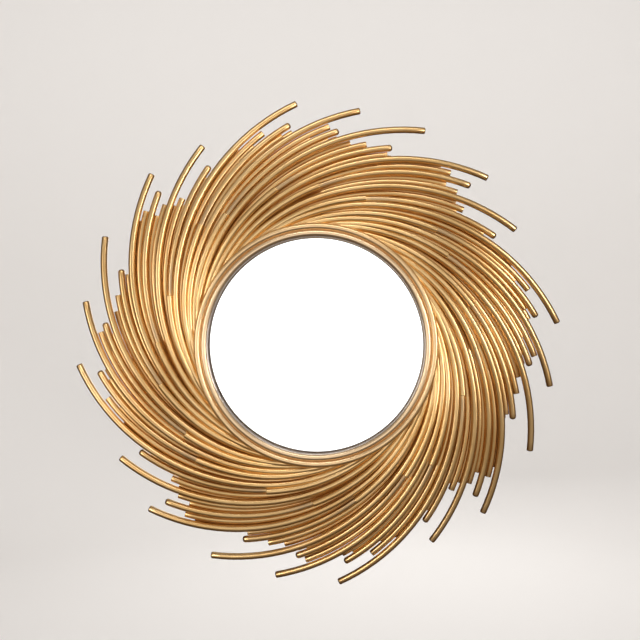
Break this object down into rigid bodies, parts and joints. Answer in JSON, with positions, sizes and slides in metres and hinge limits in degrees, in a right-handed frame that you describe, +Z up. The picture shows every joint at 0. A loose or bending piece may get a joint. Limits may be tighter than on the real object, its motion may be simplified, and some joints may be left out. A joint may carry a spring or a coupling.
{
  "type": "wall mirror",
  "caption": "Round flat wall mirror in a dished frame of curved gold rods that swirl clockwise out of a beaded ring, with a flush keyhole hanger in its flat back.",
  "frame": {"origin": "middle of the flat back of the backing board, where the mirror meets the wall", "axes": "+Z up as hung, +Y out of the back into the wall, -Y the way the glass faces, +X to the viewer's right"},
  "size_m": [0.606, 0.0549, 0.606],
  "materials": {
    "gold_frame": "satin metallic gold over a rigid foam moulding",
    "mirror": "silvered float glass",
    "board": "raw medium-density fibreboard",
    "zinc_steel": "zinc plated"
  },
  "bodies": {
    "root": {"swirl_frame": "gold_frame", "mirror_glass": "mirror", "backing_board": "board", "hanger_plate": "zinc_steel", "hanger_screw_1": "zinc_steel", "hanger_screw_2": "zinc_steel", "board_screw_1": "zinc_steel", "board_screw_2": "zinc_steel", "board_screw_3": "zinc_steel", "board_screw_4": "zinc_steel"}
  },
  "joints": []
}
